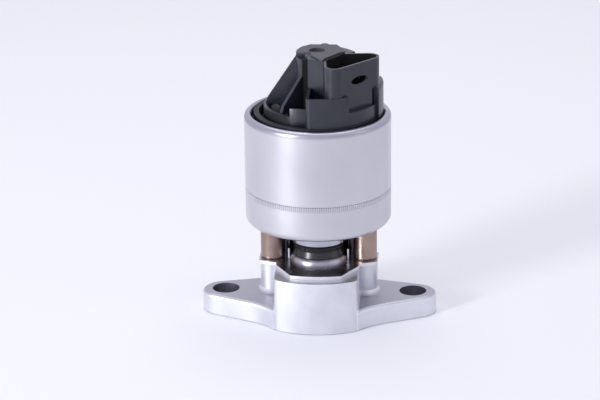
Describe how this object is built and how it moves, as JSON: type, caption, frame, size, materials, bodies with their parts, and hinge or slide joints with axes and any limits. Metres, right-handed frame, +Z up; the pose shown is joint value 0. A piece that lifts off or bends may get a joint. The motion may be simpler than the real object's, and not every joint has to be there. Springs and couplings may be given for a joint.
{
  "type": "exhaust gas recirculation valve",
  "caption": "Exhaust gas recirculation valve: two-eared cast base with gas ports, solenoid can on standoffs, and a ribbed plastic sensor cap with a connector socket.",
  "frame": {"origin": "on the valve axis at the gasket face, midway between the two mounting holes", "axes": "+Z up along the valve stem, away from the gasket face; +X through the two mounting holes; -Y towards the outlet port"},
  "size_m": [0.0798, 0.0492, 0.0923],
  "materials": {
    "cast_aluminium": "fine cast skin, satin",
    "turned_steel": "turned",
    "pole_iron": "turned iron",
    "bearing_bronze": "sintered bronze",
    "polished_steel": "polished pressing",
    "black_rubber": "smooth",
    "bronze_spacer": "turned, yellow tint",
    "screw_steel": "plain",
    "can_steel": "satin silver",
    "bright_plating": "bright",
    "thin_stainless": "drawn",
    "bobbin_plastic": "moulded",
    "coil_copper": "enamelled wire",
    "spring_steel": "drawn wire",
    "cap_plastic": "moulded, satin",
    "blade_tin": "tin plate",
    "lid_plastic": "moulded, matt",
    "follower_plastic": "natural",
    "track_ceramic": "printed ceramic"
  },
  "bodies": {
    "housing": {"base_casting": "cast_aluminium", "valve_seat": "turned_steel", "stem_bush": "bearing_bronze", "bearing_cup": "polished_steel", "stem_seal": "black_rubber", "retainer_plate": "polished_steel", "standoff_left": "bronze_spacer", "standoff_right": "bronze_spacer", "frame_screws": "screw_steel", "can_cup": "can_steel", "can_shell": "can_steel", "lower_pole": "bright_plating", "upper_pole": "pole_iron", "armature_sleeve": "thin_stainless", "coil_bobbin": "bobbin_plastic", "coil_winding": "coil_copper", "coil_washer": "thin_stainless", "return_spring": "spring_steel", "sensor_cap": "cap_plastic", "cap_seal": "black_rubber", "connector_blades": "blade_tin", "sensor_lid": "lid_plastic", "sensor_track": "track_ceramic", "sensor_spring": "spring_steel"},
    "pintle": {"pintle_valve": "turned_steel", "armature": "pole_iron"},
    "follower": {"sensor_follower": "follower_plastic", "sensor_wiper": "bearing_bronze"}
  },
  "joints": [
    {"name": "pintle_lift", "type": "slide", "parent": "housing", "child": "pintle", "axis": [0, 0, 1], "range_m": [0, 0.004], "stiffness_N_per_m": 1200, "springref_m": -0.006, "deforming": ["return_spring"]},
    {"name": "follower_slide", "type": "slide", "parent": "housing", "child": "follower", "axis": [0, 0, 1], "range_m": [0, 0.004], "stiffness_N_per_m": 100, "springref_m": -0.008, "deforming": ["sensor_spring"]}
  ],
  "couplings": [
    {"joint": "follower_slide", "follows": "pintle_lift", "ratio": 1}
  ]
}
